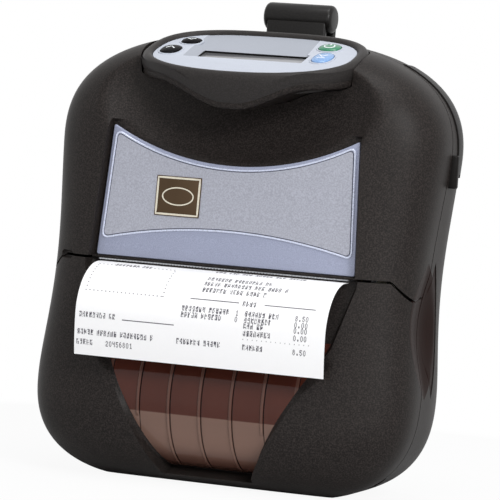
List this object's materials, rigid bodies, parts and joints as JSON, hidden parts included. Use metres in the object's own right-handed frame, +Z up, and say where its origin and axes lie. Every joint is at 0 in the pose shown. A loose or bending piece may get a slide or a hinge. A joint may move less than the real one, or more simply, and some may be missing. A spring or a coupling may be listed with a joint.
{
  "type": "portable thermal printer",
  "caption": "Hand-held thermal receipt printer: rounded two-shell body, hinged media cover with smoked window, tilted display with keys, belt clip, working paper feed.",
  "frame": {"origin": "middle of the flat base that the printer stands on", "axes": "+Z up towards the display end, -Y out of the front, +X to the right seen from the front"},
  "size_m": [0.1658, 0.095, 0.1936],
  "materials": {
    "housing": "fine textured black moulding, slightly satin",
    "bezel": "dark grey satin moulding",
    "clip": "black satin moulding",
    "black_parts": "black satin plastic",
    "smoke": "smoked brown polished clear plastic",
    "fascia": "light grey lavender painted plastic",
    "screen_cover": "clear window over the screen",
    "screen": "grey green screen module",
    "circuit": "green circuit board",
    "key_green": "green soft touch key",
    "key_blue": "light blue translucent key",
    "key_black": "gloss black key",
    "label_base": "blue grey satin label panel",
    "label_face": "silver lavender brushed overlay film",
    "badge": "dark brown badge film",
    "paper": "white thermal paper, printed on the receipt",
    "card": "plain card core",
    "frame_steel": "zinc plated sheet steel",
    "bright_steel": "ground steel shaft and spring wire",
    "rubber": "ground black rubber roller",
    "gear_plastic": "cream engineering plastic gear",
    "brass": "turned brass",
    "heat_sink": "ribbed aluminium heat sink",
    "ceramic": "glazed ceramic print head",
    "motor": "painted steel can",
    "inner_plastic": "dark grey inner moulding"
  },
  "bodies": {
    "root": {"rear_housing": "housing", "front_housing": "housing", "display_bezel": "bezel", "display_fascia": "fascia", "lcd_window": "screen_cover", "lcd_module": "screen", "keypad_board": "circuit", "label_panel": "label_base", "label_overlay": "label_face", "badge_plate": "badge", "tear_bar": "frame_steel", "paper_web": "paper", "support_rail": "frame_steel", "print_head": "ceramic", "head_bracket": "heat_sink", "head_springs": "bright_steel", "print_frame": "frame_steel", "stepper_motor": "motor", "idler_pin": "bright_steel", "media_sensor": "circuit", "hinge_bracket": "frame_steel", "hinge_pin": "bright_steel", "hinge_spring": "bright_steel", "battery_bay": "inner_plastic", "main_board": "circuit", "port_panel": "black_parts", "port_connectors": "black_parts", "strap_lugs": "housing", "clip_bush": "inner_plastic", "housing_screws": "bright_steel"},
    "cover": {"media_cover": "housing", "media_window": "smoke", "hinge_leaf": "frame_steel", "platen_carrier": "inner_plastic", "platen_bushes": "brass", "cover_catch": "frame_steel", "receipt": "paper"},
    "platen": {"platen_roller": "rubber", "platen_shaft": "bright_steel", "platen_gear": "gear_plastic"},
    "idler": {"idler_gear": "gear_plastic"},
    "pinion": {"motor_pinion": "brass"},
    "roll": {"media_roll": "paper", "roll_core": "card"},
    "support_right": {"roll_support_right": "inner_plastic"},
    "support_left": {"roll_support_left": "inner_plastic"},
    "latch": {"latch_button": "black_parts", "latch_hook": "frame_steel", "latch_spring": "bright_steel"},
    "key_power": {"power_key": "key_green"},
    "key_feed": {"feed_key": "key_blue"},
    "key_menu": {"menu_key": "key_black"},
    "key_select": {"select_key": "key_black"},
    "battery": {"battery_pack": "housing"},
    "battery_key": {"battery_latch": "black_parts"},
    "clip": {"belt_clip": "clip"},
    "port_door": {"port_cover": "housing"}
  },
  "joints": [
    {"name": "cover_hinge", "type": "hinge", "parent": "root", "child": "cover", "pos_m": [0, -0.017, 0.0044], "axis": [1, 0, 0], "range_deg": [0, 80]},
    {"name": "roll_spin", "type": "hinge", "parent": "root", "child": "roll", "pos_m": [0, -0.006, 0.039], "axis": [1, 0, 0], "continuous": true},
    {"name": "platen_spin", "type": "hinge", "parent": "cover", "child": "platen", "pos_m": [0, -0.02, 0.0793], "axis": [1, 0, 0], "continuous": true},
    {"name": "idler_spin", "type": "hinge", "parent": "root", "child": "idler", "pos_m": [0.061, -0.00238, 0.08571], "axis": [1, 0, 0], "continuous": true},
    {"name": "motor_spin", "type": "hinge", "parent": "root", "child": "pinion", "pos_m": [0.061, 0.00216, 0.10266], "axis": [1, 0, 0], "continuous": true},
    {"name": "support_right_slide", "type": "slide", "parent": "root", "child": "support_right", "axis": [1, 0, 0], "range_m": [0, 0.004], "stiffness_N_per_m": 120},
    {"name": "support_left_slide", "type": "slide", "parent": "root", "child": "support_left", "axis": [-1, 0, 0], "range_m": [0, 0.004]},
    {"name": "latch_press", "type": "slide", "parent": "root", "child": "latch", "axis": [-1, 0, 0], "range_m": [0, 0.003], "stiffness_N_per_m": 1200},
    {"name": "power_press", "type": "slide", "parent": "root", "child": "key_power", "axis": [0, 0.3305, -0.9438], "range_m": [0, 0.0008], "stiffness_N_per_m": 900},
    {"name": "feed_press", "type": "slide", "parent": "root", "child": "key_feed", "axis": [0, 0.3305, -0.9438], "range_m": [0, 0.0008], "stiffness_N_per_m": 900},
    {"name": "menu_press", "type": "slide", "parent": "root", "child": "key_menu", "axis": [0, 0.3305, -0.9438], "range_m": [0, 0.0008], "stiffness_N_per_m": 900},
    {"name": "select_press", "type": "slide", "parent": "root", "child": "key_select", "axis": [0, 0.3305, -0.9438], "range_m": [0, 0.0008], "stiffness_N_per_m": 900},
    {"name": "battery_slide", "type": "slide", "parent": "root", "child": "battery", "axis": [-1, 0, 0], "range_m": [0, 0.06]},
    {"name": "battery_release", "type": "slide", "parent": "battery", "child": "battery_key", "axis": [1, 0, 0], "range_m": [0, 0.0015], "stiffness_N_per_m": 600},
    {"name": "clip_swivel", "type": "hinge", "parent": "root", "child": "clip", "pos_m": [0, 0.031, 0.158], "axis": [0, 1, 0], "range_deg": [-90, 90]},
    {"name": "port_door_hinge", "type": "hinge", "parent": "root", "child": "port_door", "pos_m": [0.0803, 0.015, 0.128], "axis": [0, 1, 0], "range_deg": [0, 100]}
  ],
  "couplings": [
    {"joint": "platen_spin", "follows": "roll_spin", "ratio": 5.1818},
    {"joint": "idler_spin", "follows": "roll_spin", "ratio": -2.1198},
    {"joint": "motor_spin", "follows": "roll_spin", "ratio": 6.6623},
    {"joint": "support_left_slide", "follows": "support_right_slide", "ratio": 1}
  ]
}
